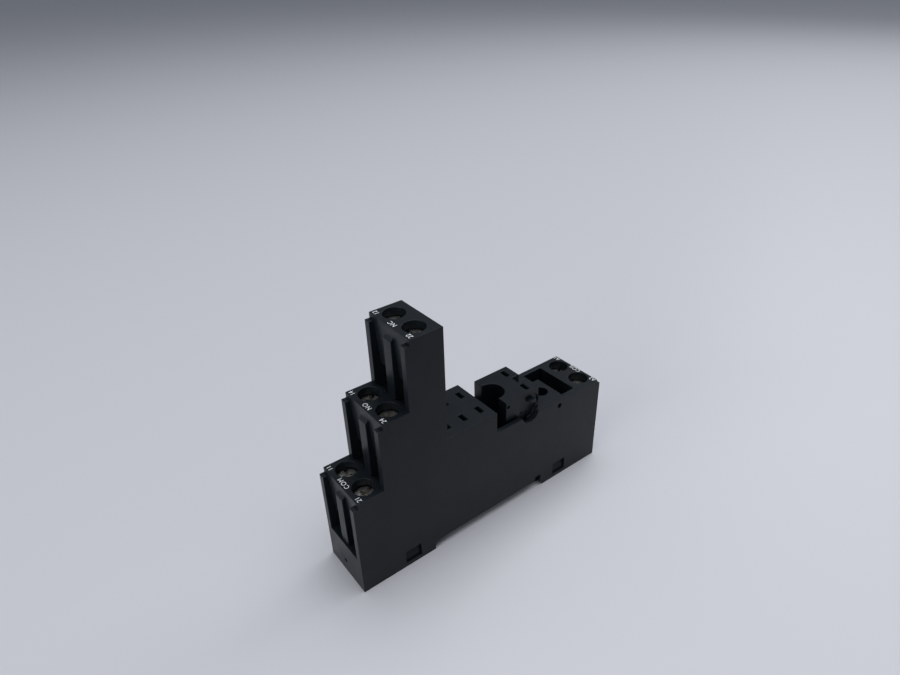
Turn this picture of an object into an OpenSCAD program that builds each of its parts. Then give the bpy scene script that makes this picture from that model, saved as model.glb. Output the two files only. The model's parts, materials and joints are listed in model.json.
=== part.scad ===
// Two-pole relay socket for a 35 mm top-hat rail.
// Three tiers of screw terminals rise at the contact end, a relay plugs in on the platform behind them,
// and two coil terminals sit at the other end.
// Origin: bottom centre of the housing. +X points to the coil end, +Z away from the rail.

/* [Housing] */
// Width across the rail
body_w = 15.5; // [15.2:0.1:17]
// Thickness of the two end walls
end_wall = 1.3; // [1.1:0.05:1.5]
// Thickness of roofs and cross walls
roof_t = 1.2; // [1:0.1:1.6]
// Height of the lowest contact tier
tier_h = 27.4; // [27:0.1:29]
// Height from one contact tier to the next
tier_rise = 17.5; // [17.2:0.1:19]
// Length from one contact tier to the next
tier_run = 8; // [7.8:0.1:9]
// Length of the top of the tower
tower_l = 9.7; // [9.6:0.1:11]
// Height of the coil end and of the low side walls
coil_h = 26.6; // [26:0.1:28]
// Length of the coil end's top
coil_l = 9; // [8.9:0.1:10]
// Distance between the two rows, which is the relay's row pitch
row_pitch = 7.5; // [7.4:0.05:7.6]

/* [End faces] */
// Depth of the step under the front edge of each tier's top
cap_step = 1.2; // [0.8:0.1:1.4]
// Distance of the rib ends below the tier's top
rib_drop = 1.4; // [1:0.1:1.8]
// Depth of the centre rib's top below the tier's top
rib_top = 3.2; // [2.6:0.1:3.6]
// Fall of the sloped top of the centre rib
rib_slope = 0.7; // [0.4:0.1:1]
// Radius of the collar round a well, where the next tier's wire ledge begins
collar_r = 3.75; // [3.5:0.05:3.9]
// Depth of the wire ledge behind the collars
ledge_drop = 0.9; // [0.6:0.1:1.1]
// Width of the grooves that lead a wire in
groove_w = 4.5; // [4.2:0.1:4.8]
// Wall left between a groove and the clamp shaft
groove_wall = 0.85; // [0.7:0.05:1]
// Depth of the centre rib's end behind the outer ribs
rib_setback = 0.5; // [0.3:0.1:0.8]
// Height of a wire entry
entry_h = 4.9; // [4.5:0.1:5.2]

/* [Relay platform] */
// Height of the platform that the relay stands on
seat_h = 32.7; // [32:0.1:34]
// Distance from the tower to the first column of relay pins
pin_start = 2.5; // [2.3:0.1:3]
// Pitch of the contact pins
pin_pitch = 5; // [4.9:0.05:5.1]
// Distance from the last contact pin to the platform's end
pin_end = 2.4; // [2.2:0.1:3.5]
// Distance from the last contact pin to the coil pin
coil_pin_gap = 15; // [14.8:0.1:15.6]
// Length of a pin slot across the rows
slot_l = 2.5; // [2.3:0.1:2.8]
// Width of a pin slot
slot_w = 1; // [0.9:0.05:1.2]
// Chamfer along a pin slot
slot_lead = 0.25; // [0.15:0.05:0.35]

/* [Central block] */
// Gap between the platform and the central block
gap_l = 4.2; // [3.8:0.1:4.6]
// Wall between two relay pins' hollows
rib_wall = 0.8; // [0.7:0.05:1]
// Depth of the floor of that gap above the base
gap_floor = 14; // [12:0.5:18]
// Length of the central block
block_l = 10.9; // [10.7:0.1:12]
// Wall of the central block outside the coil forks
block_wall = 0.9; // [0.85:0.05:1.05]
// Radius of the screwdriver shaft down to the panel screw
shaft_r = 3.25; // [3:0.05:3.3]
// Distance of that shaft's axis behind the block's front face
shaft_back_set = 0.6; // [0.4:0.1:1]
// Depth of the groove along the block's foot, measured into the block
foot_groove = 0.5; // [0.3:0.05:0.6]
// Radius of the hole in each front corner, for the clip's wire
post_hole_r = 0.45; // [0.35:0.05:0.6]
// Distance of that hole from the block's front face
post_hole_set = 0.8; // [0.7:0.05:1.2]
// Depth of that hole's axis below the platform's level
post_hole_drop = 1.5; // [1.2:0.1:1.8]
// Depth of that hole
post_hole_d = 1.2; // [0.8:0.1:1.5]
// Length of the notch in the middle of the block's rear edge
rear_notch_l = 2.5; // [2:0.1:2.8]
// Width of that notch
rear_notch_w = 2.4; // [2:0.1:2.8]
// Length of the clip pegs on both sides of the block
peg_l = 2; // [1.6:0.1:2.2]
// Height of the clip pegs
peg_h = 2.8; // [2.4:0.1:3]
// Gap between the end of a clip peg and the plane of the side face
peg_inset = 0.35; // [0.2:0.05:0.5]
// Distance of a clip peg's axis before the block's rear face
peg_set = 2.8; // [2.4:0.1:3.2]
// Height of a clip peg's axis below the platform's level
peg_drop = 3.5; // [3.3:0.1:3.8]
// Radius of the round recess in the block's side, about the clip peg
clip_r = 2.7; // [2.4:0.05:2.8]
// Depth of that recess
clip_d = 0.4; // [0.3:0.05:0.5]
// Radius of the notch in the side walls below the clip pegs
notch_r = 2.85; // [2.5:0.05:3]
// Distance of the notch's axis before the block's rear face
notch_set = 3.85; // [3.6:0.05:4.2]
// Height of the notch's axis above the side walls
notch_rise = 0.75; // [0.6:0.05:1]

/* [Module pocket] */
// Length of the pocket for a plug-in module
pocket_l = 4.4; // [4.2:0.1:5]
// Height of the pocket's floor above the base
pocket_floor = 16; // [15.6:0.2:18]
// Length of the keying recess on one side of the pocket
key_l = 2; // [1.6:0.1:2.4]
// Width of the keying recess
key_w = 3.6; // [3:0.1:4.2]
// Radius of the access hole before the pocket
access_r = 1.9; // [1.6:0.05:2]
// Distance of the access hole's axis before the pocket
access_set = 3.4; // [3.2:0.1:3.8]
// Distance of the access hole's axis from the centre plane
access_y = 1.85; // [1.6:0.05:2.2]
// Depth of the access hole
access_d = 4; // [3:0.5:6]
// Radius of the locating hole in each side wall
locate_r = 0.7; // [0.5:0.05:0.8]

/* [Terminals] */
// Distance of a contact screw from its tier's end face
screw_inset = 5.1; // [5:0.05:5.3]
// Distance of a coil screw from the coil end face
coil_inset = 4.55; // [4.5:0.05:4.8]
// Width of a clamp shaft, across the wire
shaft_w = 5.4; // [5.3:0.1:5.6]
// Room behind a clamp cage for the strip's leg
leg_room = 1.3; // [1.2:0.05:1.5]
// Radius of a screw well
well_r = 2.62; // [2.6:0.02:2.7]
// Radius of a screw head
head_r = 2.45; // [2.3:0.05:2.5]
// Thickness of a screw head
head_t = 1.8; // [1.5:0.1:1.9]
// Depth of a contact screw's head below the rim
head_drop = 2; // [1.6:0.1:2.2]
// Further depth of a coil screw's head
coil_drop = 0.4; // [0:0.1:0.6]
// Outer radius of the screw's thread
thread_r = 1.45; // [1.3:0.05:1.6]
// Radial clearance between the thread and the clamp cage
thread_gap = 0.05; // [0.02:0.01:0.08]
// Depth of the clamp shaft's roof below the rim
shaft_roof = 4.5; // [4.3:0.1:4.7]
// Length of a clamp cage along the wire
cage_l = 4.1; // [3.8:0.1:4.2]
// Wall of a clamp cage beside the wire
cage_wall = 0.7; // [0.6:0.05:0.8]
// Thickness of the cage's threaded top
cage_top = 1.6; // [1.4:0.1:1.8]
// Thickness of the cage's bottom
cage_floor = 0.9; // [0.8:0.1:1.1]
// Gap between a clamp cage and its shaft
cage_gap = 0.25; // [0.2:0.05:0.3]
// Gap between a clamp cage and the ends of its shaft
wire_gap = 0.2; // [0.15:0.05:0.25]
// Lift of a clamp cage from open to closed
cage_lift = 3.5; // [3:0.1:3.5]

/* [Contact strips] */
// Thickness of the brass strip
strip_t = 0.8; // [0.7:0.05:0.9]
// Depth of the strip's underside below the rim
strip_d = 12.6; // [12.4:0.1:12.8]
// Gap between the strip and the walls of the clamp cage
tongue_gap = 0.25; // [0.2:0.05:0.3]
// Width of the outer leg of a normally closed strip
outer_leg_w = 2; // [1.6:0.1:2.4]
// Height of a strip's run through the housing
run_h = 4.5; // [4:0.1:5]
// Height of the low runs above the base
run_low = 6.5; // [6:0.1:7]
// Height of the lower edge of the raised runs above the base
run_high = 18.5; // [18:0.1:19]
// Width of a contact fork
fork_w = 2.8; // [2.6:0.1:2.9]
// Gap between the two tines of a fork
fork_gap = 0.8; // [0.6:0.05:1]
// Height of the free tines
fork_h = 8; // [7:0.1:8.5]
// Gap between the free ends of the tines and the platform's underside
fork_clear = 0.5; // [0.4:0.1:0.8]
// Lead-in at the free ends of the tines
fork_lead = 0.3; // [0.2:0.05:0.4]
// Height of the sprung bulge of the tines, down from their free ends
fork_nose = 1.2; // [1:0.1:1.6]
// Slant of the outer corners of the tines
fork_corner = 0.3; // [0.2:0.05:0.4]
// Height of the bend of a normally closed strip above its clamp's foot
bend_h = 1.5; // [1.3:0.1:1.8]
// Play of a strip in the slit of a cross wall, each side
slit_play = 0.2; // [0.1:0.05:0.25]

/* [Rail foot] */
// Distance from the contact end to the rail channel
rail_start = 20.8; // [20:0.1:22]
// Width of the rail channel between the lip's root and the latch's root
rail_mouth = 35.3; // [35.1:0.1:35.6]
// Height of the channel's ceiling above the base
rail_ceiling = 2.6; // [2.4:0.1:2.8]
// Thickness of the rail's brim that the lip and the latch leave room for
brim_t = 1.05; // [1:0.05:1.2]
// Reach of the fixed lip under the rail
lip_reach = 1.4; // [1.2:0.1:1.8]
// Length of the coil end's foot, from the rail channel to the coil end face
foot_l = 21.6; // [21:0.1:26]
// Length of the latch nose's root, behind the channel
root_l = 2.4; // [2:0.1:2.6]
// Reach of the latch nose under the rail
nose_reach = 2.4; // [2:0.1:2.7]
// Thickness of the base plate over the channel
plate_t = 2; // [1.8:0.1:2.2]
// Gap between the base plate and the housing's walls
plate_gap = 0.1; // [0.05:0.05:0.2]
// Radius of the hole for the panel screw
panel_hole_r = 1.7; // [1.6:0.05:1.9]
// Width of the guide beside the latch's slide
guide_w = 1.35; // [1.2:0.05:1.5]
// Thickness of the guide's ledge
guide_t = 0.8; // [0.6:0.1:1]
// Reach of that ledge under the slide
guide_reach = 1; // [0.8:0.1:1.2]
// Travel of the rail latch
latch_travel = 2.7; // [2.4:0.1:2.8]
// Length of the eye that a screwdriver pulls the latch by
eye_l = 1.6; // [1.4:0.1:1.8]
// Width of that eye
eye_w = 3.6; // [3.2:0.1:4]
// Wall between the eye and the latch's end
eye_wall = 1.2; // [1:0.1:1.4]
// Sliding gap round the rail latch
latch_gap = 0.2; // [0.15:0.05:0.25]
// Radius of the latch spring, to the outside of its wire
spring_r = 0.85; // [0.7:0.05:0.9]
// Wire diameter of the latch spring
spring_wire = 0.3; // [0.2:0.05:0.35]
// Length of a snap window in the side wall
window_l = 4.5; // [4:0.1:5]
// Height of a snap window's lower edge above the base
window_z = 1.2; // [1:0.1:1.4]
// Distance of the contact end's window from the rail channel
window_set = 4.3; // [4:0.1:5]
// Distance of the coil end's window from the latch's root
window_far = 2.7; // [2.4:0.1:3.2]
// Play of a snap lug in its window, each side
lug_play = 0.2; // [0.1:0.05:0.25]
// Reach of a snap lug out of the base plate
lug_reach = 0.85; // [0.7:0.05:1]
// Length of a keeper under the low runs of the strips
keeper_l = 1.2; // [1:0.1:1.6]
// Width of a keeper
keeper_w = 2.4; // [2:0.1:2.8]

/* [Hidden] */
$fn = 48;

COM = 0;
NO = 1;
NC = 2;
COIL = 3;
NEAR = -1;
FAR = 1;
cut = 0.5;

row_y = row_pitch / 2;
cell_half = shaft_w / 2;
in_y = row_y + cell_half;
block_w = row_pitch + fork_w + 2 * (slit_play + block_wall);

tower_x = 2 * tier_run;
seat_x = tower_x + tower_l;
seat_l = pin_start + 2 * pin_pitch + pin_end;
seat_end = seat_x + seat_l;
block_x = seat_end + gap_l;
block_end = block_x + block_l;
shaft_x = block_x + shaft_back_set;
rail_end = rail_start + rail_mouth;
body_l = rail_end + foot_l;
pocket_end = body_l - coil_l;
pocket_x = pocket_end - pocket_l;
tower_h = tier_h + 2 * tier_rise;

shaft_front = cage_l / 2 + wire_gap;
shaft_back = shaft_front + leg_room;
inner_top = seat_h - roof_t;
fork_foot = inner_top - fork_clear - fork_h;
low_top = run_low + run_h;
high_top = run_high + run_h;
outer_y = cell_half - slit_play - strip_t / 2;

tongue_w = shaft_w - 2 * (cage_gap + cage_wall + tongue_gap);
plate_top = rail_ceiling + plate_t;
latch_root = rail_end + root_l;
tunnel_roof = pocket_floor - roof_t;

function cage_roof_d() = shaft_roof + 0.3 + cage_lift;
function tier_x(t) = t * tier_run;
function tier_z(t) = t == COIL ? coil_h : tier_h + t * tier_rise;
function inset(t) = t == COIL ? coil_inset : screw_inset;
function drop(t) = t == COIL ? head_drop + coil_drop : head_drop;
function groove_d(t) = inset(t) - shaft_front - groove_wall;
// Pins 0, 1 and 2 behind the tower are normally open, common and normally closed.
function pin_x(n) = seat_x + pin_start + n * pin_pitch;
coil_pin_x = pin_x(2) + coil_pin_gap;
function window_places() = [rail_start - window_set - window_l, latch_root + window_far];

// ---- Frames of reference ----

// From the contact end to the model's own origin.
module placed() {
    translate([-body_l / 2, 0, 0]) children();
}

// A terminal's own frame: its end face, row and rim are at zero, and +X points inwards.
module at_terminal(t, row) {
    if (t == COIL) translate([body_l, row * row_y, coil_h]) mirror([1, 0, 0]) children();
    else translate([tier_x(t), row * row_y, tier_z(t)]) children();
}

// A side profile, drawn in X and Z, given a width in Y.
module across(w) {
    rotate([90, 0, 0]) linear_extrude(w, center = true) children();
}

// A box from its lowest to its highest corner.
module span(a, b) {
    translate(a) cube(b - a);
}

// The same box in both rows, y measured outwards from the row's centre.
module in_rows(a, b) {
    for (row = [NEAR, FAR]) translate([0, row * row_y, 0]) scale_row(row) span(a, b);
}

// Turns "outwards" into +Y on the far row and -Y on the near row.
module scale_row(row) {
    if (row == NEAR) mirror([0, 1, 0]) children();
    else children();
}

// ---- Housing ----

module housing_profile() {
    polygon([
        [0, 0], [rail_start, 0], [rail_start, rail_ceiling - 0.7], [rail_start + 1.5, rail_ceiling],
        [rail_end - 2, rail_ceiling], [rail_end - 1.4, rail_ceiling + 1.3],
        [rail_end + 0.4, rail_ceiling + 1.3],
        [rail_end + 0.4, 1], [rail_end + 1.1, 0], [body_l, 0],
        [body_l, coil_h], [seat_end, coil_h], [seat_end, seat_h], [seat_x, seat_h], [seat_x, tower_h],
        [tower_x, tower_h], [tower_x, tier_z(NO)], [tier_run, tier_z(NO)], [tier_run, tier_h], [0, tier_h]]);
}

module central_block() {
    difference() {
        span([block_x, -block_w / 2, coil_h - 1], [block_end, block_w / 2, seat_h]);
        on_both_sides() at_peg(block_w / 2 - clip_d) rotate([-90, 0, 0])
            cylinder(r = clip_r, h = clip_d + cut);
    }
    peg_w = body_w / 2 - peg_inset - (block_w / 2 - clip_d);
    on_both_sides() at_peg(block_w / 2 - clip_d)
        span([-peg_l / 2, -cut, -peg_h / 2], [peg_l / 2, peg_w, peg_h / 2]);
}

// On the axis of a clip peg, at a distance from the centre plane.
module at_peg(y) {
    translate([block_end - peg_set, y, seat_h - peg_drop]) children();
}

module on_both_sides() {
    for (side = [0, 1]) mirror([0, side, 0]) children();
}

// Step, wire grooves and centre rib on the end face of one terminal pair.
module end_face_cuts(t) {
    entry_z = -strip_d - entry_h;
    at_terminal(t, 0) {
        span([-cut, -body_w, -rib_drop], [cap_step, body_w, cut]);
        across(row_pitch) polygon([
            [-cut, entry_z], [rib_setback, entry_z], [rib_setback, -rib_top],
            [cap_step, -rib_top + rib_slope],
            [cap_step, -rib_drop + cut], [-cut, -rib_drop + cut]]);
    }
    for (row = [NEAR, FAR]) at_terminal(t, row) {
        across(groove_w) polygon([
            [-cut, -rib_drop + cut], [-cut, entry_z], [groove_d(t), entry_z], [groove_d(t), -strip_d],
            [cap_step, -rib_drop], [cap_step, -rib_drop + cut]]);
        span([-cut, -groove_w / 2, entry_z], [inset(t), groove_w / 2, -strip_d]);
        if (t == NO || t == NC) difference() {
            span([0, -groove_w / 2, entry_z - ledge_drop], [inset(t), groove_w / 2, entry_z + cut]);
            translate([inset(t) - tier_run, 0, entry_z - 2 * cut]) cylinder(r = collar_r, h = 4 * cut);
        }
    }
}

// Screw well and clamp shaft of one terminal, the shaft open down to the base plate.
module terminal_cuts(t, row) {
    at_terminal(t, row) translate([inset(t), 0, 0]) {
        translate([0, 0, -shaft_roof - cut]) cylinder(r = well_r, h = shaft_roof + 2 * cut);
        span([-shaft_front, -cell_half, plate_top - tier_z(t) - cut], [shaft_back, cell_half, -shaft_roof]);
    }
}

// Pin slot with chamfered long edges.
module pin_slot(x, row) {
    half = slot_w / 2;
    translate([x, row * row_y, 0]) across(slot_l) polygon([
        [-half, inner_top - cut], [half, inner_top - cut], [half, seat_h - slot_lead],
        [half + slot_lead, seat_h], [half + slot_lead, seat_h + cut],
        [-half - slot_lead, seat_h + cut], [-half - slot_lead, seat_h], [-half, seat_h - slot_lead]]);
}

// Hollows under the platform, the central block and the pocket, one set in each row.
module inner_cells() {
    z0 = plate_top - cut;
    for (n = [0, 1, 2]) {
        left = n == 0 ? seat_x + roof_t : pin_x(n) - (pin_pitch - rib_wall) / 2;
        right = n == 2 ? seat_end - roof_t : pin_x(n) + (pin_pitch - rib_wall) / 2;
        in_rows([left, -cell_half, z0], [right, cell_half, inner_top]);
    }
    right_x = shaft_x + shaft_r + roof_t;
    step_x = pocket_x - key_l - roof_t;
    fork_half = fork_w / 2 + slit_play;
    in_rows([right_x, -cell_half, z0], [pocket_end, cell_half, tunnel_roof]);
    in_rows([right_x, -cell_half, z0], [step_x, cell_half, coil_h - access_d - roof_t]);
    in_rows([right_x, -cell_half, z0], [step_x, fork_half, coil_h - roof_t]);
    in_rows([right_x, -fork_half, z0], [block_end - roof_t, fork_half, inner_top]);
    in_rows([seat_end + roof_t, strip_t, z0], [shaft_x + shaft_r - roof_t, cell_half, gap_floor - roof_t]);
}

// Slits that let the strips in from below through the cross walls, each closed at the strip's top edge.
module strip_slits() {
    z0 = plate_top - cut;
    w = strip_t / 2 + slit_play;
    shaft_end = inset(COM) + shaft_back;
    in_rows([shaft_end - cut, -w, z0], [pin_x(1) - 1, w, low_top]);
    in_rows([tier_run + shaft_end - cut, -w, z0], [pin_x(0), w, high_top]);
    in_rows([tower_x + shaft_end - cut, outer_y - w, z0], [pin_x(2), outer_y + w, high_top]);
    in_rows([pocket_end - cut, -w, z0], [body_l - coil_inset - shaft_back + cut, w, low_top]);
}

// Pocket for the plug-in module, with its keying recess on the far side.
module module_pocket() {
    half = block_w / 2 + 0.05;
    span([pocket_x, -half, pocket_floor], [pocket_end, half, coil_h + cut]);
    span([pocket_x - key_l, half - key_w, pocket_floor], [pocket_x + cut, half, coil_h + cut]);
}

// Seats for the retaining clip: a round notch in each side wall, a blind hole in each front corner of the
// block and a groove along the block's foot.
module clip_seats() {
    notch_x = block_end - notch_set;
    on_both_sides() {
        translate([notch_x, block_w / 2, coil_h + notch_rise]) rotate([-90, 0, 0])
            cylinder(r = notch_r, h = body_w);
        translate([notch_x, block_w / 2 - clip_d, coil_h + notch_rise]) rotate([-90, 0, 0])
            cylinder(r = notch_r - clip_d, h = body_w);
        translate([block_x + post_hole_set, block_w / 2 - post_hole_d, seat_h - post_hole_drop])
            rotate([-90, 0, 0]) cylinder(r = post_hole_r, h = post_hole_d + cut);
        span([seat_end, block_w / 2 - foot_groove, coil_h - rail_ceiling], [notch_x, in_y, coil_h + cut]);
    }
}

module snap_windows() {
    for (x = window_places()) span([x, -body_w, window_z], [x + window_l, body_w, plate_top + 0.3]);
}

module housing() {
    color([0.13, 0.14, 0.15]) placed() difference() {
        union() {
            across(body_w) housing_profile();
            central_block();
        }
        for (t = [COM, NO, NC, COIL]) {
            end_face_cuts(t);
            for (row = [NEAR, FAR]) terminal_cuts(t, row);
        }
        span([end_wall, -in_y, -cut], [body_l - end_wall, in_y, plate_top]);
        inner_cells();
        strip_slits();
        for (row = [NEAR, FAR]) {
            for (n = [0, 1, 2]) pin_slot(pin_x(n), row);
            pin_slot(coil_pin_x, row);
        }
        span([seat_end, -block_w / 2, gap_floor], [block_x, block_w / 2, seat_h + cut]);
        translate([shaft_x, 0, plate_top - cut]) cylinder(r = shaft_r, h = seat_h);
        span([block_end - rear_notch_l, -rear_notch_w / 2, coil_h],
            [block_end + cut, rear_notch_w / 2, seat_h + cut]);
        translate([pocket_x - access_set, -access_y, coil_h - access_d])
            cylinder(r = access_r, h = access_d + cut);
        module_pocket();
        clip_seats();
        snap_windows();
        for (side = [0, 1]) mirror([0, side, 0])
            translate([pocket_x - key_l, body_w / 2 - 1, coil_h - 2]) rotate([-90, 0, 0])
                cylinder(r = locate_r, h = 1 + cut);
    }
}

// ---- Rail foot ----

module base_plate() {
    brim_z = rail_ceiling - brim_t;
    half = in_y - plate_gap;
    guide_x = latch_root + latch_travel + latch_gap;
    foot_end = body_l - end_wall - plate_gap;
    slide_half = half - guide_w;
    color([0.16, 0.17, 0.18]) placed() difference() {
        union() {
            across(2 * half) polygon([
                [end_wall + plate_gap, 0], [rail_start - 0.2, 0], [rail_start + 0.2, 0.2],
                [rail_start + lip_reach, 0.3], [rail_start + lip_reach, 1.1], [rail_start + 0.1, brim_z],
                [rail_start + 0.1, rail_ceiling - 0.6], [rail_start + 1.5, rail_ceiling],
                [rail_end - 2, rail_ceiling], [rail_end - 1.4, rail_ceiling + 0.8],
                [rail_end + 1.4, rail_ceiling + 0.8], [rail_end + 1.4, rail_ceiling],
                [foot_end, rail_ceiling], [foot_end, plate_top],
                [end_wall + plate_gap, plate_top]]);
            for (side = [0, 1]) mirror([0, side, 0]) {
                span([guide_x, slide_half, 0], [foot_end, half, rail_ceiling + 0.1]);
                span([guide_x, slide_half - guide_reach, 0], [foot_end, slide_half, guide_t]);
                for (x = window_places()) snap_lug(x, half);
            }
            span([peg_x(), -0.9, 0.9], [peg_x() + 2, 0.9, rail_ceiling + 0.1]);
            for (x = [tier_run + screw_inset, pin_x(0)]) keeper(x);
            keeper(pocket_x);
        }
        translate([shaft_x, 0, rail_ceiling - cut]) cylinder(r = panel_hole_r, h = plate_t + 2 * cut);
        span([end_wall + plate_t, plate_t - in_y, -cut],
            [rail_start - window_set - window_l - plate_t, in_y - plate_t, plate_top - roof_t]);
    }
}

// Rib that carries the low runs of the strips.
module keeper(x) {
    in_rows([x - keeper_l / 2, -keeper_w / 2, plate_top - 0.1], [x + keeper_l / 2, keeper_w / 2, run_low]);
}

// Snap lug that fills a window of the side wall, sloped on its upper side.
module snap_lug(x, half) {
    low = window_z + lug_play;
    translate([x + window_l / 2, 0, 0]) rotate([90, 0, 90])
        linear_extrude(window_l - 2 * lug_play, center = true)
            polygon([[half - 0.2, low], [half + lug_reach, low], [half + lug_reach, low + 0.8],
                [half + 0.15, plate_top - 0.2], [half - 0.2, plate_top - 0.2]]);
}

function peg_x() = latch_root + latch_travel + spring_l() - 0.4;

module rail_latch() {
    brim_z = rail_ceiling - brim_t;
    half = in_y - plate_gap - 0.1;
    slide_half = in_y - plate_gap - guide_w - latch_gap;
    body_x = latch_root;
    body_end = body_l - end_wall - plate_gap - latch_travel - 2 * latch_gap;
    slot_x = peg_x() - spring_l() - 0.2;
    color([0.19, 0.2, 0.21]) placed() difference() {
        union() {
            across(2 * half) polygon([
                [rail_end - nose_reach, brim_z - 0.05], [rail_end - nose_reach, brim_z - 0.4],
                [rail_end + 0.9, 0.1], [body_x, 0.1], [body_x, rail_ceiling - latch_gap],
                [rail_end + 0.5, rail_ceiling - latch_gap], [rail_end + 0.3, brim_z - 0.05]]);
            span([body_x - 0.1, -slide_half, guide_t + latch_gap],
                [body_end, slide_half, rail_ceiling - latch_gap]);
            span([body_x - 0.1, guide_reach - slide_half, 0.1],
                [body_end, slide_half - guide_reach, rail_ceiling - latch_gap]);
        }
        span([slot_x, -spring_r - 0.25, -cut], [peg_x() + 2.1, spring_r + 0.25, rail_ceiling + cut]);
        translate([body_end - eye_wall - eye_l, 0, 0])
            span([0, -eye_w / 2, -cut], [eye_l, eye_w / 2, rail_ceiling + cut]);
    }
}

function spring_l() = 2.3 * latch_travel;

// Compression spring between the latch's slot and the base plate's peg.
module latch_spring() {
    turns = 7;
    steps = 14;
    sides = 6;
    mean_r = spring_r - spring_wire / 2;
    wire_r = spring_wire / 2;
    pitch = (spring_l() - spring_wire - 0.1) / turns;
    rings = turns * steps;
    points = [for (i = [0:rings]) let (a = 360 * i / steps) for (k = [0:sides - 1]) let (b = 360 * k / sides)
        [pitch * i / steps + wire_r * sin(b),
            (mean_r + wire_r * cos(b)) * cos(a), (mean_r + wire_r * cos(b)) * sin(a)]];
    skin = [for (i = [0:rings - 1]) for (k = [0:sides - 1]) let (n = (k + 1) % sides)
        [i * sides + k, (i + 1) * sides + k, (i + 1) * sides + n, i * sides + n]];
    start = [[for (k = [0:sides - 1]) k]];
    end = [[for (k = [sides - 1:-1:0]) rings * sides + k]];
    color([0.75, 0.76, 0.78]) placed()
        translate([peg_x() - spring_l() + wire_r, 0, rail_ceiling / 2 + 0.05])
            polyhedron(points = points, faces = concat(skin, start, end));
}

// ---- Terminals ----

// Clamp screw with a combined slot and cross recess, turned by an angle about its axis.
module terminal_screw(t, row, turn) {
    head_z = -drop(t);
    tip_z = -strip_d + strip_t + 0.05;
    color([0.72, 0.69, 0.62]) placed() at_terminal(t, row) translate([inset(t), 0, 0]) difference() {
        union() {
            translate([0, 0, head_z - head_t]) cylinder(r = head_r, h = head_t - 0.3);
            translate([0, 0, head_z - 0.3]) cylinder(r1 = head_r, r2 = head_r - 0.3, h = 0.3);
            translate([0, 0, tip_z]) cylinder(r = thread_r, h = head_z - head_t - tip_z + 0.1);
        }
        translate([0, 0, head_z]) rotate([0, 0, turn]) {
            span([-head_r - cut, -0.4, -0.9], [head_r + cut, 0.4, cut]);
            span([-0.35, -1.35, -1.1], [0.35, 1.35, cut]);
            span([-1.35, -0.35, -1.1], [1.35, 0.35, cut]);
        }
    }
}

// Rising clamp cage: a plated steel box, open along the wire, with a threaded top.
module clamp_cage(t, row) {
    half = cell_half - cage_gap;
    floor_d = strip_d + entry_h;
    color([0.78, 0.74, 0.6]) placed() at_terminal(t, row) translate([inset(t), 0, 0]) difference() {
        span([-cage_l / 2, -half, -floor_d - cage_floor], [cage_l / 2, half, -cage_roof_d()]);
        span([-cage_l, -half + cage_wall, -floor_d], [cage_l, half - cage_wall, -cage_roof_d() - cage_top]);
        translate([0, 0, -cage_roof_d() - cage_top - cut])
            cylinder(r = thread_r + thread_gap, h = cage_top + 2 * cut);
    }
}

// ---- Contact strips ----

// Tongue in the clamp cage and the leg behind it, down to a height above the base.
module tongue_and_leg(t, leg_z, leg_out) {
    at_terminal(t, 0) translate([inset(t), 0, 0]) {
        span([-cage_l / 2 + 0.2, -tongue_w / 2, -strip_d], [shaft_back, tongue_w / 2, -strip_d + strip_t]);
        span([shaft_back - strip_t, -tongue_w / 2, leg_z - tier_z(t)],
            [shaft_back, leg_out, -strip_d + strip_t]);
    }
}

// Fork across the row with its foot at a height above the base.
module fork(x, foot_z) {
    tip = fork_foot + fork_h;
    waist = fork_foot + fork_h / 4;
    tine = [[fork_gap / 2, fork_foot], [fork_gap * 0.7, waist], [fork_gap / 2, tip - fork_nose],
        [fork_gap / 2 + fork_lead, tip], [fork_w / 2 - fork_corner, tip], [fork_w / 2, tip - 3 * fork_corner],
        [fork_w / 2, foot_z]];
    mirrored = [for (i = [len(tine) - 1:-1:0]) [-tine[i][0], tine[i][1]]];
    translate([x - strip_t / 2, 0, 0]) rotate([90, 0, 90]) linear_extrude(strip_t)
        polygon(concat(tine, mirrored));
}

module strip_frame(row) {
    color([0.8, 0.65, 0.35]) placed() translate([0, row * row_y, 0]) scale_row(row) children();
}

// Common contact: low run on the row's centre to the second pin.
module com_strip(row) {
    strip_frame(row) {
        tongue_and_leg(COM, run_low, tongue_w / 2);
        span([inset(COM) + shaft_back - 0.1, -strip_t / 2, run_low], [pin_x(1), strip_t / 2, low_top]);
        fork(pin_x(1), run_low);
    }
}

// Normally open contact: raised run on the row's centre to the first pin.
module no_strip(row) {
    strip_frame(row) {
        tongue_and_leg(NO, run_high, tongue_w / 2);
        span([tier_run + inset(NO) + shaft_back - 0.1, -strip_t / 2, run_high],
            [pin_x(0), strip_t / 2, high_top]);
        fork(pin_x(0), run_high);
    }
}

// Normally closed contact: raised run along the outer wall to the third pin.
module nc_strip(row) {
    leg_x = tower_x + inset(NC) + shaft_back;
    turn_z = tier_z(NO) - strip_d + bend_h;
    strip_frame(row) {
        tongue_and_leg(NC, turn_z, outer_y + strip_t / 2);
        span([leg_x - outer_leg_w, outer_y - strip_t / 2, run_high],
            [leg_x, outer_y + strip_t / 2, turn_z + outer_leg_w]);
        span([leg_x - outer_leg_w, outer_y - strip_t / 2, run_high],
            [pin_x(2) + strip_t / 2, outer_y + strip_t / 2, high_top]);
        span([pin_x(2) - strip_t / 2, 0, run_high],
            [pin_x(2) + strip_t / 2, outer_y, high_top - strip_t]);
        fork(pin_x(2), run_high);
    }
}

// Coil contact: low run from the coil end to the coil pin.
module coil_strip(row) {
    strip_frame(row) {
        tongue_and_leg(COIL, run_low, tongue_w / 2);
        span([coil_pin_x, -strip_t / 2, run_low],
            [body_l - coil_inset - shaft_back + 0.1, strip_t / 2, low_top]);
        fork(coil_pin_x, run_low);
    }
}

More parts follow.
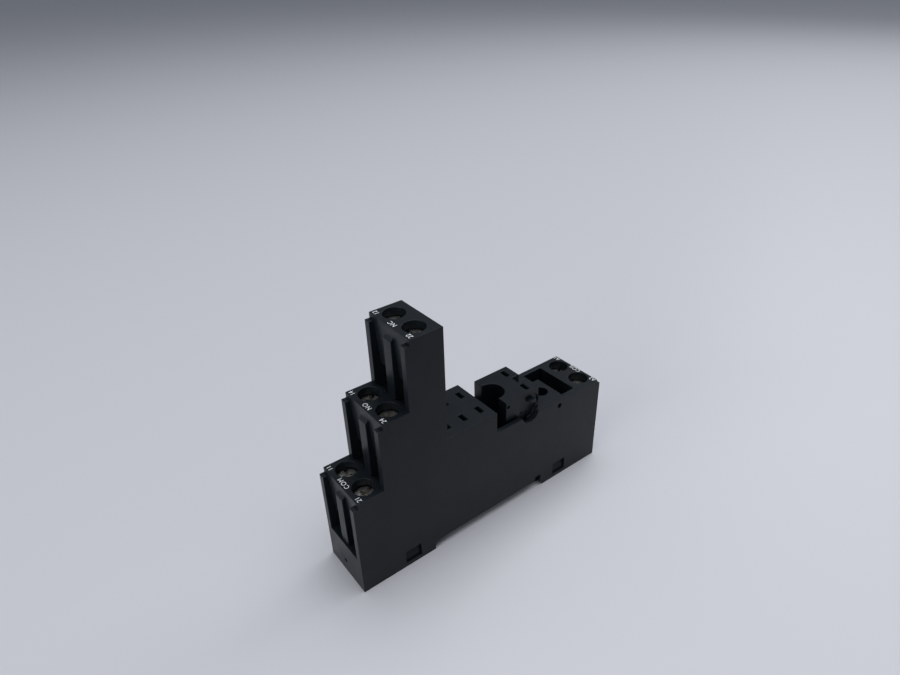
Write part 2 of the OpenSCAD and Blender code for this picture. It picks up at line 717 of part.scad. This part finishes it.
housing();
base_plate();
rail_latch();
latch_spring();
terminal_screw(COM, NEAR, 20);  // screw_21
terminal_screw(COM, FAR, 75);  // screw_11
terminal_screw(NO, NEAR, 130);  // screw_24
terminal_screw(NO, FAR, 40);  // screw_14
terminal_screw(NC, NEAR, 100);  // screw_22
terminal_screw(NC, FAR, 10);  // screw_12
terminal_screw(COIL, NEAR, 60);  // screw_a2
terminal_screw(COIL, FAR, 150);  // screw_a1
clamp_cage(COM, NEAR);  // cage_21
clamp_cage(COM, FAR);  // cage_11
clamp_cage(NO, NEAR);  // cage_24
clamp_cage(NO, FAR);  // cage_14
clamp_cage(NC, NEAR);  // cage_22
clamp_cage(NC, FAR);  // cage_12
clamp_cage(COIL, NEAR);  // cage_a2
clamp_cage(COIL, FAR);  // cage_a1
com_strip(NEAR);  // strip_21
com_strip(FAR);  // strip_11
no_strip(NEAR);  // strip_24
no_strip(FAR);  // strip_14
nc_strip(NEAR);  // strip_22
nc_strip(FAR);  // strip_12
coil_strip(NEAR);  // strip_a2
coil_strip(FAR);  // strip_a1
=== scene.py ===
# %% [markdown]
# # A relay socket for a rail, dressed for the camera
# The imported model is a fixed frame: every solid is already at its real place and size. This lesson
# gives those solids the finish of the real thing: satin black moulding with soft edges, nickel
# screws with a real thread, a wound spring and white print.
#
# Blender counts in metres, and a socket is measured in millimetres. So lengths are written in
# millimetres and turned into metres by the value MM. Only the table and the lamps, which are far
# larger, are given in metres.

# %% Load the frame
import json
import math

import bmesh
import bpy
from mathutils import Euler, Matrix, Vector

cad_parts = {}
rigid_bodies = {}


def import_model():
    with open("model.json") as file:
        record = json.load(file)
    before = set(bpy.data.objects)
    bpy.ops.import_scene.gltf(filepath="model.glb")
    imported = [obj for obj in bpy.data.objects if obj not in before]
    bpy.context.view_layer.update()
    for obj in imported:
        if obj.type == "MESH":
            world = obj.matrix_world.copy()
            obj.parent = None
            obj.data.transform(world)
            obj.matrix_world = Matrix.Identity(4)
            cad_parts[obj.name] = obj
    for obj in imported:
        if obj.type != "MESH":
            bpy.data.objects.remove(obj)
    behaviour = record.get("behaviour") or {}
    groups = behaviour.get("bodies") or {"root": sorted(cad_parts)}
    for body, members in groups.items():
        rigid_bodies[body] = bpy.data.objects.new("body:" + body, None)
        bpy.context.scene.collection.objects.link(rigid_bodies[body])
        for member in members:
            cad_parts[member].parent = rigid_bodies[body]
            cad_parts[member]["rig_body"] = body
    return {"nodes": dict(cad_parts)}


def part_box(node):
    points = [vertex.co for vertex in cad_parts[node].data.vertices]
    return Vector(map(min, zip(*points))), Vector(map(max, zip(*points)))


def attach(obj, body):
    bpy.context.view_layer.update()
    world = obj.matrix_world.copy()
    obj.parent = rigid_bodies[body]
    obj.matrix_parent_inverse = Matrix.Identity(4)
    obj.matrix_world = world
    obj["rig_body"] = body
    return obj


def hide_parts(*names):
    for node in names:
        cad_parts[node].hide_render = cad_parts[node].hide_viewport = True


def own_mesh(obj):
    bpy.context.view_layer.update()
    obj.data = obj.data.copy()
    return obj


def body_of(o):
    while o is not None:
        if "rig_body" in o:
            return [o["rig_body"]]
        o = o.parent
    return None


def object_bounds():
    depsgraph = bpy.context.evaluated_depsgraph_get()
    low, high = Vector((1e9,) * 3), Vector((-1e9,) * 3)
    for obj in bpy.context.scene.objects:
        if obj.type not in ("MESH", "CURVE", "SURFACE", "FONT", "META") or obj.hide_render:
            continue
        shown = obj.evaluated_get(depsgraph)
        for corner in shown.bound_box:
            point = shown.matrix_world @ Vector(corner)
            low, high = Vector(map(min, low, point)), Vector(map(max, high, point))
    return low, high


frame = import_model()
cad_box = [list(corner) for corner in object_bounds()]
MM = 0.001
bpy.ops.object.select_all(action="DESELECT")
print("solids in the frame:", len(frame["nodes"]))

# %% [markdown]
# ## Camera
# The socket is looked at from above its contact end, through a lens short enough to make that end
# look larger than the far one. A camera could be aimed at a point by a constraint. Here its
# direction and a slight roll are named values, so the view's tilt can be changed without moving
# anything else.

# %% Camera
CAMERA_PLACE = Vector((-81.25, -102.59, 130.03)) * MM
CAMERA_FORWARD = Vector((0.50716, 0.69036, -0.51594))
CAMERA_ROLL = math.radians(-1.987)
LENS = 26.32
SENSOR_WIDTH = 36
NEAREST_SEEN = 5 * MM


def add_camera(place, forward, roll, lens):
    data = bpy.data.cameras.new("camera")
    data.lens = lens
    data.sensor_width = SENSOR_WIDTH
    data.clip_start = NEAREST_SEEN
    camera = bpy.data.objects.new("camera", data)
    bpy.context.collection.objects.link(camera)
    level = forward.to_track_quat("-Z", "Y")
    camera.rotation_euler = (level.to_matrix() @ Matrix.Rotation(roll, 3, "Z")).to_euler()
    camera.location = place
    bpy.context.scene.camera = camera
    return camera


camera = add_camera(CAMERA_PLACE, CAMERA_FORWARD, CAMERA_ROLL, LENS)
bpy.context.view_layer.update()
print("camera right axis:", [round(x, 4) for x in camera.matrix_world.col[0][:3]])

# %% [markdown]
# ## Floor and light
# The socket stands on a plain pale table under one broad lamp, which leaves only soft shadows at
# its foot. Two weaker lamps at its ends lift the end faces above the long side and reach into the
# grooves. Area lamps are chosen over a sun or a point, because a shadow's edge softens with the
# size of the lamp, and satin plastic mirrors a broad lamp as a calm sheen.

# %% Floor
FLOOR_SIZE = 6
FLOOR_COLOUR = (0.52, 0.525, 0.565, 1)
FLOOR_ROUGHNESS = 0.45


def add_floor():
    bpy.ops.mesh.primitive_plane_add(size=FLOOR_SIZE, location=(0, 0, 0))
    floor = bpy.context.object
    floor.name = "floor"
    bpy.ops.object.transform_apply(location=True, rotation=True, scale=True)
    material = bpy.data.materials.new("table_paint")
    material.use_nodes = True
    shader = material.node_tree.nodes["Principled BSDF"]
    shader.inputs["Base Color"].default_value = FLOOR_COLOUR
    shader.inputs["Roughness"].default_value = FLOOR_ROUGHNESS
    floor.data.materials.append(material)
    return floor


floor = add_floor()
print("floor ready:", floor.name)


# %% Lamps and world
def add_lamp(name, place, target, size, watts, colour):
    data = bpy.data.lights.new(name, "AREA")
    data.shape = "RECTANGLE"
    data.size, data.size_y = size
    data.energy = watts
    data.color = colour
    lamp = bpy.data.objects.new(name, data)
    bpy.context.collection.objects.link(lamp)
    lamp.location = place
    lamp.rotation_euler = (Vector(target) - Vector(place)).to_track_quat("-Z", "Y").to_euler()
    return lamp


def set_world(colour, strength):
    world = bpy.data.worlds.new("studio")
    world.use_nodes = True
    background = world.node_tree.nodes["Background"]
    background.inputs["Color"].default_value = colour
    background.inputs["Strength"].default_value = strength
    bpy.context.scene.world = world


lamps = [
    add_lamp("left_lamp", place=(-0.95, -0.1, 0.36), target=(0, 0, 0.03), size=(0.7, 0.3),
             watts=4.4, colour=(1.0, 0.98, 0.96)),
    add_lamp("right_lamp", place=(0.85, 0.1, 0.6), target=(0, 0, 0.03), size=(0.6, 0.5),
             watts=2.4, colour=(1.0, 0.99, 0.98)),
    add_lamp("top_lamp", place=(0.15, 0.0, 1.0), target=(0, 0, 0.02), size=(1.0, 0.9),
             watts=8.2, colour=(0.97, 0.98, 1.0)),
]
set_world(colour=(0.78, 0.84, 0.93, 1), strength=0.27)
bpy.context.scene.view_settings.view_transform = "Standard"
print("lamps:", [lamp.name for lamp in lamps])

# %% [markdown]
# ## Finishes
# A finish could be painted as an image and wrapped round the piece. Here each one is a small node
# tree that reads Object coordinates instead. It needs no unwrapping, and its grain stays fixed to
# the piece when the piece moves.


# %% Helpers for node trees
CLOUD_ENDS = (0.35, 0.68)


def new_material(name):
    material = bpy.data.materials.new(name)
    material.use_nodes = True
    nodes = material.node_tree.nodes
    return material, nodes, material.node_tree.links, nodes["Principled BSDF"]


def grain(nodes, links, per_mm, detail=3.0):
    where = nodes.new("ShaderNodeTexCoord")
    noise = nodes.new("ShaderNodeTexNoise")
    noise.inputs["Scale"].default_value = per_mm / MM
    noise.inputs["Detail"].default_value = detail
    links.new(where.outputs["Object"], noise.inputs["Vector"])
    return noise.outputs["Fac"]


def colour_between(nodes, links, source, dark, light):
    node = nodes.new("ShaderNodeValToRGB")
    for element, place, colour in zip(node.color_ramp.elements, CLOUD_ENDS, (dark, light)):
        element.position = place
        element.color = colour
    links.new(source, node.inputs["Fac"])
    return node.outputs["Color"]


def value_between(nodes, links, source, low, high):
    node = nodes.new("ShaderNodeMapRange")
    node.inputs["To Min"].default_value = low
    node.inputs["To Max"].default_value = high
    links.new(source, node.inputs["Value"])
    return node.outputs["Result"]


def bump(nodes, links, height, strength, depth_mm):
    node = nodes.new("ShaderNodeBump")
    node.inputs["Strength"].default_value = strength
    node.inputs["Distance"].default_value = depth_mm * MM
    links.new(height, node.inputs["Height"])
    return node.outputs["Normal"]


# %% [markdown]
# Moulded plastic: the housing, the foot and the latch are near-black plastic with faint clouds and
# a patchy sheen. Their mould was eroded by sparks, which leaves a fine texture. It is far too fine
# to model, so a bump of a few hundredths of a millimetre stands for it.

# %% Moulded plastic
CLOUDS_PER_MM = 0.12
SHEEN_PATCHES_PER_MM = 0.35
SHEEN_SPREAD = 0.07
SPARKS_PER_MM = 7.0
SPARK_STRENGTH = 0.25
SPARK_DEPTH = 0.02
PLASTIC_SPECULAR = 0.19


def moulded_plastic(name, dark, light, rough):
    material, nodes, links, shader = new_material(name)
    tint = colour_between(nodes, links, grain(nodes, links, CLOUDS_PER_MM), dark, light)
    links.new(tint, shader.inputs["Base Color"])
    patches = grain(nodes, links, SHEEN_PATCHES_PER_MM)
    sheen = value_between(nodes, links, patches, rough - SHEEN_SPREAD, rough + SHEEN_SPREAD)
    links.new(sheen, shader.inputs["Roughness"])
    shader.inputs["Specular IOR Level"].default_value = PLASTIC_SPECULAR
    sparks = bump(nodes, links, grain(nodes, links, SPARKS_PER_MM), SPARK_STRENGTH, SPARK_DEPTH)
    links.new(sparks, shader.inputs["Normal"])
    return material


# %% [markdown]
# Plated metal: the screws, cages, strips and the spring are plated or washed metal. The plating is
# stained in patches, and fine scratches run through its sheen. One function makes them all, since
# only the tint and the roughness differ.

# %% Plated metal
STAINS_PER_MM = 0.9
RUBBED_PATCHES_PER_MM = 2.5
RUBBED_SMOOTHER = 0.08
RUBBED_ROUGHER = 0.1
SCRATCHES_PER_MM = 12.0
SCRATCH_STRENGTH = 0.15
SCRATCH_DEPTH = 0.01


def plated_metal(name, dark, light, rough):
    material, nodes, links, shader = new_material(name)
    tint = colour_between(nodes, links, grain(nodes, links, STAINS_PER_MM), dark, light)
    links.new(tint, shader.inputs["Base Color"])
    shader.inputs["Metallic"].default_value = 1.0
    patches = grain(nodes, links, RUBBED_PATCHES_PER_MM)
    sheen = value_between(nodes, links, patches, rough - RUBBED_SMOOTHER, rough + RUBBED_ROUGHER)
    links.new(sheen, shader.inputs["Roughness"])
    scratches = grain(nodes, links, SCRATCHES_PER_MM)
    normal = bump(nodes, links, scratches, SCRATCH_STRENGTH, SCRATCH_DEPTH)
    links.new(normal, shader.inputs["Normal"])
    return material


# %% [markdown]
# White print: a pad print is never quite even, so its white thins out in small patches.

# %% White print
THIN_PATCHES_PER_MM = 3.0
THIN_PATCH_DETAIL = 5.0
INK_ROUGHNESS = 0.55


def printing_ink(name, thin, full):
    material, nodes, links, shader = new_material(name)
    patches = grain(nodes, links, THIN_PATCHES_PER_MM, THIN_PATCH_DETAIL)
    links.new(colour_between(nodes, links, patches, thin, full), shader.inputs["Base Color"])
    shader.inputs["Roughness"].default_value = INK_ROUGHNESS
    return material


# %% The part's finishes
HOUSING = moulded_plastic(
    "satin_black", dark=(0.0052, 0.0078, 0.0104, 1), light=(0.0072, 0.0104, 0.0134, 1), rough=0.35)
FOOT = moulded_plastic(
    "foot_black", dark=(0.0048, 0.0066, 0.0082, 1), light=(0.0068, 0.0092, 0.0114, 1), rough=0.46)
LATCH = moulded_plastic(
    "latch_black", dark=(0.0048, 0.0066, 0.0082, 1), light=(0.007, 0.0094, 0.0116, 1), rough=0.38)
SCREW = plated_metal(
    "dull_nickel", dark=(0.46, 0.44, 0.41, 1), light=(0.78, 0.76, 0.72, 1), rough=0.28)
CAGE = plated_metal(
    "zinc_plate", dark=(0.4, 0.39, 0.35, 1), light=(0.56, 0.55, 0.5, 1), rough=0.33)
STRIP = plated_metal(
    "washed_brass", dark=(0.48, 0.4, 0.24, 1), light=(0.66, 0.56, 0.35, 1), rough=0.3)
SPRING = plated_metal(
    "drawn_wire", dark=(0.42, 0.42, 0.44, 1), light=(0.58, 0.58, 0.6, 1), rough=0.24)
INK = printing_ink("print_white", thin=(0.55, 0.56, 0.57, 1), full=(0.85, 0.86, 0.87, 1))
print("finishes:", [m.name for m in (HOUSING, FOOT, LATCH, SCREW, CAGE, STRIP, SPRING, INK)])

# %% [markdown]
# ## Soft edges on the moulded and punched parts
# No moulded or punched edge is a knife edge: it catches the light as a thin bright line. The shapes
# could be modelled again, but the solids already have every slot and rib. So each gets a shown
# copy: its seams are merged, its flat faces joined, and its outer edges rounded by a bevel that
# reads a weight on each edge. Inner corners keep weight 0 and stay sharp, which keeps the bevel
# clean. At last the copy is held inside the box of its solid, so that rounding adds no size.


# %% Helpers for pieces
def select_only(piece):
    bpy.ops.object.select_all(action="DESELECT")
    piece.select_set(True)
    bpy.context.view_layer.objects.active = piece


def apply_modifiers(piece):
    select_only(piece)
    for modifier in list(piece.modifiers):
        bpy.ops.object.modifier_apply(modifier=modifier.name)


def finish_piece(piece, node_name, material):
    piece.data.materials.clear()
    piece.data.materials.append(material)
    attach(piece, body_of(frame["nodes"][node_name])[0])


def stand_for(node_name):
    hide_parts(node_name)


def keep_in_box(piece, node_name):
    low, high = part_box(node_name)
    for vertex in piece.data.vertices:
        vertex.co = [min(max(place, a), b) for place, a, b in zip(vertex.co, low, high)]


# %% Helpers for turned and cut shapes
def cylinder(name, radius, low, high, sides=48):
    bpy.ops.mesh.primitive_cylinder_add(vertices=sides, radius=radius * MM,
                                        depth=(high - low) * MM,
                                        location=(0, 0, (low + high) / 2 * MM))
    piece = bpy.context.object
    piece.name = name
    bpy.ops.object.transform_apply(location=True, rotation=True, scale=True)
    return piece


def cut_away(piece, cutters):
    for cutter in cutters:
        cut = piece.modifiers.new("cut", "BOOLEAN")
        cut.object = cutter
        cut.operation = "DIFFERENCE"
        cut.solver = "EXACT"
        apply_modifiers(piece)
        bpy.data.objects.remove(cutter)


# %% Outer edges
SAME_POINT = 0.001 * MM
SAME_PLANE = math.radians(1)
OUTER_EDGE = math.radians(50)


def weigh_outer_edges(mesh):
    clean = bmesh.new()
    clean.from_mesh(mesh)
    bmesh.ops.remove_doubles(clean, verts=clean.verts, dist=SAME_POINT)
    bmesh.ops.dissolve_limit(clean, angle_limit=SAME_PLANE, verts=clean.verts, edges=clean.edges)
    weight = clean.edges.layers.float.new("bevel_weight_edge")
    for edge in clean.edges:
        outer = edge.is_manifold and edge.calc_face_angle_signed() > OUTER_EDGE
        edge[weight] = 1.0 if outer else 0.0
    rounded = sum(edge[weight] > 0 for edge in clean.edges)
    clean.to_mesh(mesh)
    clean.free()
    return rounded


# %% Rounded copies
SMOOTH_UNDER = math.radians(48)


def rounded_copy(node_name, radius, material, marks=()):
    mesh = frame["nodes"][node_name].data.copy()
    piece = bpy.data.objects.new(node_name + "_finished", mesh)
    bpy.context.collection.objects.link(piece)
    select_only(piece)
    bpy.ops.mesh.customdata_custom_splitnormals_clear()
    edges = weigh_outer_edges(mesh)
    cut_away(piece, marks)
    bevel = piece.modifiers.new("soft_edges", "BEVEL")
    bevel.limit_method = "WEIGHT"
    bevel.width = radius * MM
    bevel.segments = 2
    bevel.use_clamp_overlap = False
    apply_modifiers(piece)
    keep_in_box(piece, node_name)
    bpy.ops.object.shade_smooth_by_angle(angle=SMOOTH_UNDER)
    piece.modifiers.new("flat_faces", "WEIGHTED_NORMAL").keep_sharp = True
    apply_modifiers(piece)
    finish_piece(piece, node_name, material)
    stand_for(node_name)
    print(f"{piece.name}: {edges} edges rounded, {len(mesh.polygons)} faces")


# %% [markdown]
# A mould leaves marks. Where the plastic flowed in, the contact end keeps a small round pit, the
# gate's mark. Two shallow round pits under the foot show where pins pushed it out of the mould.
# Each is cut by a short cylinder before the edges are rounded, so its own edge stays crisp.

# %% Moulding marks
GATE_R = 0.55
GATE_DEPTH = 0.22
GATE_PLACE = (cad_box[0][0] / MM, 0.25, 3.8)
PIN_R = 1.0
PIN_DEPTH = 0.08
PIN_PLACES = [(-24.5, -4.5, 0), (-24.5, 4.5, 0)]
PIT_SIDES = 32


def pit(radius, depth, place, turn=(0, 0, 0)):
    cutter = cylinder("pit", radius, -depth, depth, PIT_SIDES)
    cutter.data.transform(Euler(turn).to_matrix().to_4x4())
    cutter.data.transform(Matrix.Translation(Vector(place) * MM))
    return cutter


# %% Housing, foot and latch
gate_mark = pit(GATE_R, GATE_DEPTH, GATE_PLACE, turn=(0, math.pi / 2, 0))
rounded_copy("housing", radius=0.12, material=HOUSING, marks=[gate_mark])
pin_marks = [pit(PIN_R, PIN_DEPTH, place) for place in PIN_PLACES]
rounded_copy("base_plate", radius=0.1, material=FOOT, marks=pin_marks)
rounded_copy("rail_latch", radius=0.15, material=LATCH)

# %% Clamp cages and contact strips
TERMINALS = [name.split("_")[1] for name in frame["nodes"] if name.startswith("screw_")]
PUNCHED_R = 0.08
for terminal in TERMINALS:
    rounded_copy("cage_" + terminal, PUNCHED_R, CAGE)
    rounded_copy("strip_" + terminal, PUNCHED_R, STRIP)

# %% [markdown]
# ## Clamp screws
# Each screw is built standing on its own axis with the top of its head at zero, and then moved into
# the box of its solid. The head is turned, so it starts as a cylinder with a rounded rim. Its
# recess takes a flat blade and a cross-tip driver, so it is cut by a long bar and a tapered cross.

# %% Helpers for the rims and the recess
RIM_ANGLE = math.radians(50)


def bevel_rims(piece, width, segments):
    rim = piece.modifiers.new("rim", "BEVEL")
    rim.width = width * MM
    rim.segments = segments
    rim.angle_limit = RIM_ANGLE
    apply_modifiers(piece)


def cutting_bar(length, width, depth):
    bpy.ops.mesh.primitive_cube_add(size=MM, location=(0, 0, 0))
    cutter = bpy.context.object
    cutter.name = "cutter"
    cutter.scale = (length, width, 2 * depth)
    bpy.ops.object.transform_apply(location=True, rotation=True, scale=True)
    return cutter


# %% Head
HEAD_R = 2.45
HEAD_T = 1.8
RIM_R = 0.28
SLOT_W = 0.8
SLOT_DEPTH = 0.9
SLOT_PAST_RIM = 0.5
CROSS_SPAN = 2.9
CROSS_W = 0.85
CROSS_DEPTH = 1.2
CROSS_SPAN_TAPER = 0.62
CROSS_W_TAPER = 0.75


def cross_arm(turn):
    arm = cutting_bar(CROSS_SPAN, CROSS_W, CROSS_DEPTH)
    for vertex in arm.data.vertices:
        if vertex.co.z < 0:
            vertex.co.x *= CROSS_SPAN_TAPER
            vertex.co.y *= CROSS_W_TAPER
    arm.data.transform(Matrix.Rotation(math.radians(turn), 4, "Z"))
    return arm


def screw_head():
    head = cylinder("head", HEAD_R, -HEAD_T, 0)
    bevel_rims(head, RIM_R, 3)
    slot = cutting_bar(2 * (HEAD_R + SLOT_PAST_RIM), SLOT_W, SLOT_DEPTH)
    cut_away(head, [slot, cross_arm(0), cross_arm(90)])
    return head


# %% [markdown]
# The thread could be a bump or a stack of rings, but only a true helix looks right at the screw's
# edge and climbs as the screw turns. So a small triangle is swept round the core by the screw
# modifier, one pitch higher with each turn, and its two ends are closed.


# %% Helpers for what is wound
def close_ends(piece, sides):
    select_only(piece)
    bpy.ops.object.mode_set(mode="EDIT")
    bpy.ops.mesh.select_all(action="SELECT")
    bpy.ops.mesh.fill_holes(sides=sides)
    bpy.ops.mesh.normals_make_consistent(inside=False)
    bpy.ops.object.mode_set(mode="OBJECT")


def wind(piece, axis, turns, pitch, steps):
    sweep = piece.modifiers.new("winding", "SCREW")
    sweep.axis = axis
    sweep.angle = 2 * math.pi
    sweep.iterations = turns
    sweep.screw_offset = pitch * MM
    sweep.steps = steps
    sweep.render_steps = steps
    return sweep


# %% Thread
THREAD_R = 1.45
CORE_R = 1.19
PITCH = 0.5
RIDGE_SUNK = 0.08
RIDGE_HALF = 0.21
THREAD_STEPS = 24


def thread_ridge(low, high):
    bpy.ops.mesh.primitive_circle_add(vertices=3, radius=RIDGE_HALF * MM)
    ridge = bpy.context.object
    foot = CORE_R - RIDGE_SUNK
    corners = [(foot, RIDGE_HALF), (THREAD_R, 0), (foot, -RIDGE_HALF)]
    for vertex, (out, up) in zip(ridge.data.vertices, corners):
        vertex.co = Vector((out, 0, low + PITCH / 2 + up)) * MM
    sweep = wind(ridge, "Z", int((high - low) / PITCH) - 1, PITCH, THREAD_STEPS)
    sweep.use_normal_calculate = True
    apply_modifiers(ridge)
    close_ends(ridge, 3)
    return ridge


# %% [markdown]
# The head, core and thread overlap and are joined into one object, as the real screw is one turned
# piece. A driver leaves every screw at a different angle, so each is given its own.


# %% Helpers for joining and placing
def join(pieces, name):
    bpy.ops.object.select_all(action="DESELECT")
    for piece in pieces:
        piece.select_set(True)
    bpy.context.view_layer.objects.active = pieces[0]
    bpy.ops.object.join()
    pieces[0].name = name
    return pieces[0]


def middle_of(low, high):
    return [(a + b) / 2 for a, b in zip(low, high)]


# %% Whole screws
DRIVER_TURN = {"21": 20, "11": 75, "24": 130, "14": 40, "22": 100, "12": 10, "a2": -60, "a1": -150}
CORE_SIDES = 24
CORE_IN_HEAD = 0.1
TIP_CHAMFER = 0.3
TIP_FREE = 0.2
TURNED_SMOOTH = math.radians(35)


def add_screw(terminal):
    low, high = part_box("screw_" + terminal)
    tip = (low[2] - high[2]) / MM
    core = cylinder("core", CORE_R, tip, -HEAD_T + CORE_IN_HEAD, CORE_SIDES)
    bevel_rims(core, TIP_CHAMFER, 1)
    ridge = thread_ridge(tip + TIP_FREE, -HEAD_T)
    screw = join([screw_head(), core, ridge], "clamp_screw_" + terminal)
    screw.data.transform(Matrix.Rotation(math.radians(DRIVER_TURN[terminal]), 4, "Z"))
    x, y, _ = middle_of(low, high)
    screw.data.transform(Matrix.Translation((x, y, high[2])))
    select_only(screw)
    bpy.ops.object.shade_smooth_by_angle(angle=TURNED_SMOOTH)
    finish_piece(screw, "screw_" + terminal, SCREW)
    stand_for("screw_" + terminal)
    return screw


screws = [add_screw(terminal) for terminal in TERMINALS]
print("screws:", len(screws), "with", len(screws[0].data.polygons), "faces each")

# %% [markdown]
# ## Latch spring
# Behind the latch sits a small spring of round wire that pushes it under the rail. A curve with a
# depth could draw it, but one circle swept along a helix by the screw modifier gives even faces and
# is the same tool that made the thread.

# %% Latch spring
WIRE_R = 0.15
WIRE_SIDES = 12
COILS = 7
COIL_STEPS = 28
WIRE_SMOOTH = math.radians(60)


def add_spring():
    low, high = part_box("latch_spring")
    mean_r = (high[2] - low[2]) / 2 / MM - WIRE_R
    length = (high[0] - low[0]) / MM
    bpy.ops.mesh.primitive_circle_add(vertices=WIRE_SIDES, radius=WIRE_R * MM,
                                      rotation=(math.pi / 2, 0, 0), location=(0, 0, mean_r * MM))
    spring = bpy.context.object
    spring.name = "wound_spring"
    bpy.ops.object.transform_apply(location=True, rotation=True, scale=True)
    wind(spring, "X", COILS, (length - 2 * WIRE_R) / COILS, COIL_STEPS)
    apply_modifiers(spring)
    close_ends(spring, WIRE_SIDES)
    middle = Vector(middle_of(low, high))
    centre_x = sum(v.co.x for v in spring.data.vertices) / len(spring.data.vertices)
    spring.data.transform(Matrix.Translation((middle.x - centre_x, middle.y, middle.z)))
    select_only(spring)
    bpy.ops.object.shade_smooth_by_angle(angle=WIRE_SMOOTH)
    finish_piece(spring, "latch_spring", SPRING)
    stand_for("latch_spring")
    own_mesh(spring)
    return spring


spring = add_spring()
print("spring:", len(spring.data.polygons), "faces")

# %% [markdown]
# ## Print
# The terminal numbers and the contact names are a thin white print on the tops. Letters could be
# drawn in the finish, but then they blur when the camera comes near. Text objects turned into
# meshes stay crisp, and they stand about a hundredth of a millimetre proud, as real ink does. The
# words run across the rail, with the tops of their letters towards the contact end.

# %% One printed word
PRINT_H = 1.12
PRINT_T = 0.02
SUNK_IN_TOP = 0.012
CAPITAL_SHARE = 0.69


def add_print(words, x, y, z, spacing=1.0):
    bpy.ops.object.text_add()
    label = bpy.context.object
    label.data.body = words
    label.data.size = PRINT_H / CAPITAL_SHARE * MM
    label.data.align_x = "CENTER"
    label.data.align_y = "CENTER"
    label.data.extrude = PRINT_T / 2 * MM
    label.data.space_character = spacing
    bpy.ops.object.convert(target="MESH")
    label = bpy.context.object
    label.name = "print_" + words.lower() + "_" + str(round(x))
    label.data.transform(Matrix.Rotation(math.pi / 2, 4, "Z"))
    label.data.transform(Matrix.Translation(Vector((x, y, z + PRINT_T / 2 - SUNK_IN_TOP)) * MM))
    finish_piece(label, "housing", INK)
    return label


def head_place(terminal):
    low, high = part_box("screw_" + terminal)
    x, y, _ = middle_of(low, high)
    return x / MM, y / MM, high[2] / MM


# %% Contact prints
CONTACTS = [("21", "COM", "11"), ("24", "NO", "14"), ("22", "NC", "12")]
PRINT_FROM_AXIS = 2.85
NUMBER_OUT = 2.65
HEAD_SUNK = 2
NAME_SPACING = 1.15
prints = []
for near, name, far in CONTACTS:
    axis_x, near_y, head_z = head_place(near)
    x, z = axis_x - PRINT_FROM_AXIS, head_z + HEAD_SUNK
    prints.append(add_print(near, x, near_y - NUMBER_OUT, z))
    prints.append(add_print(name, x, 0, z, NAME_SPACING))
    prints.append(add_print(far, x, -near_y + NUMBER_OUT, z))
print("contact prints:", [label.name for label in prints])

# %% Coil prints
COIL_WORDS = [("A2", -6.65, 1.0), ("COIL", 0, 1.1), ("A1", 6.8, 1.0)]
COIL_PRINT_FROM_END = 1.93
COIL_HEAD_SUNK = 2.4
coil_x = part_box("housing")[1][0] / MM - COIL_PRINT_FROM_END
coil_z = head_place("a1")[2] + COIL_HEAD_SUNK
coil_prints = [add_print(words, coil_x, y, coil_z, spacing) for words, y, spacing in COIL_WORDS]
print("coil prints:", [label.name for label in coil_prints])
